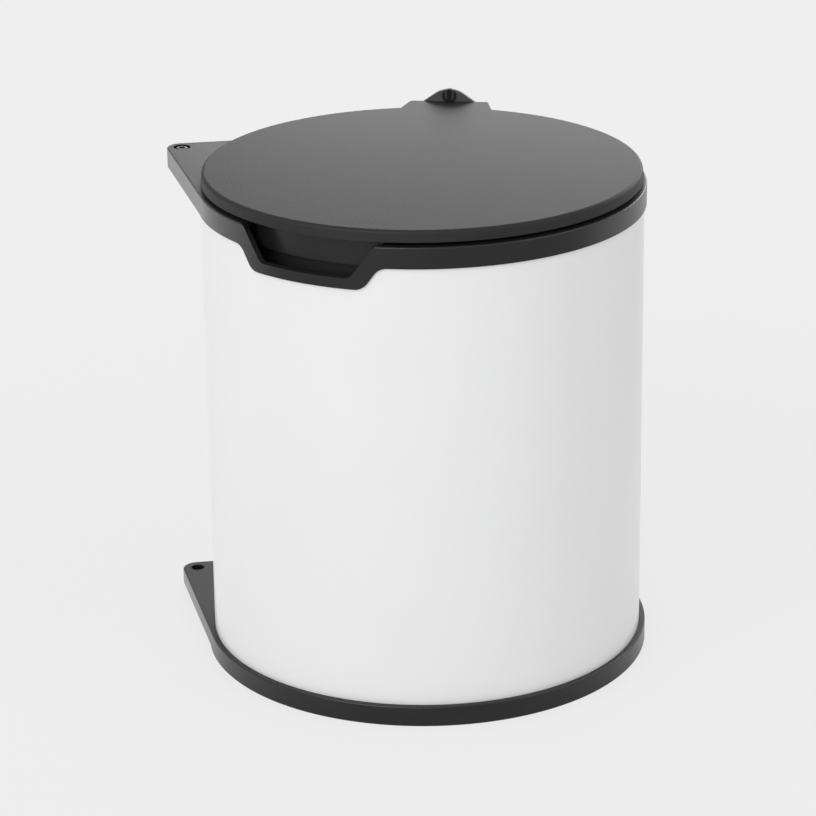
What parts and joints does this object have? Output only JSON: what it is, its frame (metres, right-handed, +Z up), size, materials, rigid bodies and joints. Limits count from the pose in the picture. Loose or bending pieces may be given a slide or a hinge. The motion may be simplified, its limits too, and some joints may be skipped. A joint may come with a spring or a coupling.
{
  "type": "built-in trash can",
  "caption": "Round swing-out cupboard bin: painted sheet body, dark moulded collar with finger grip, hinged lid with lever, base pan, pivot ears and an inner bucket with a bail.",
  "frame": {"origin": "on the axis of the round body, at the floor plane under the base pan", "axes": "+Z up along the body's axis, -Y towards the finger grip, -X towards the pivot ears"},
  "size_m": [0.3203, 0.286, 0.3208],
  "materials": {
    "body_paint": "smooth satin white paint on sheet steel",
    "dark_moulding": "fine-grained moulded plastic, dark grey",
    "lid_moulding": "fine leather-like grain, dark grey",
    "black_nylon": "smooth black plastic",
    "pin_steel": "bright zinc-plated steel",
    "buffer_rubber": "soft matt rubber",
    "bucket_plastic": "satin moulded plastic, mid grey"
  },
  "bodies": {
    "bin": {"outer_body": "body_paint", "collar": "dark_moulding", "base_pan": "dark_moulding", "upper_pivot_bush": "black_nylon", "lower_pivot_bush": "black_nylon", "hinge_pin": "pin_steel", "hinge_pin_clips": "pin_steel", "lid_buffers": "buffer_rubber", "inner_bucket": "bucket_plastic", "bucket_bail": "pin_steel", "bail_grip": "black_nylon"},
    "lid": {"lid": "lid_moulding", "lid_lever": "dark_moulding", "lever_screws": "pin_steel", "link_stud": "black_nylon"}
  },
  "joints": [
    {"name": "lid_hinge", "type": "hinge", "parent": "bin", "child": "lid", "pos_m": [-0.05828, 0.13091, 0.298], "axis": [-0.9135, -0.4067, 0], "range_deg": [0, 80]}
  ]
}
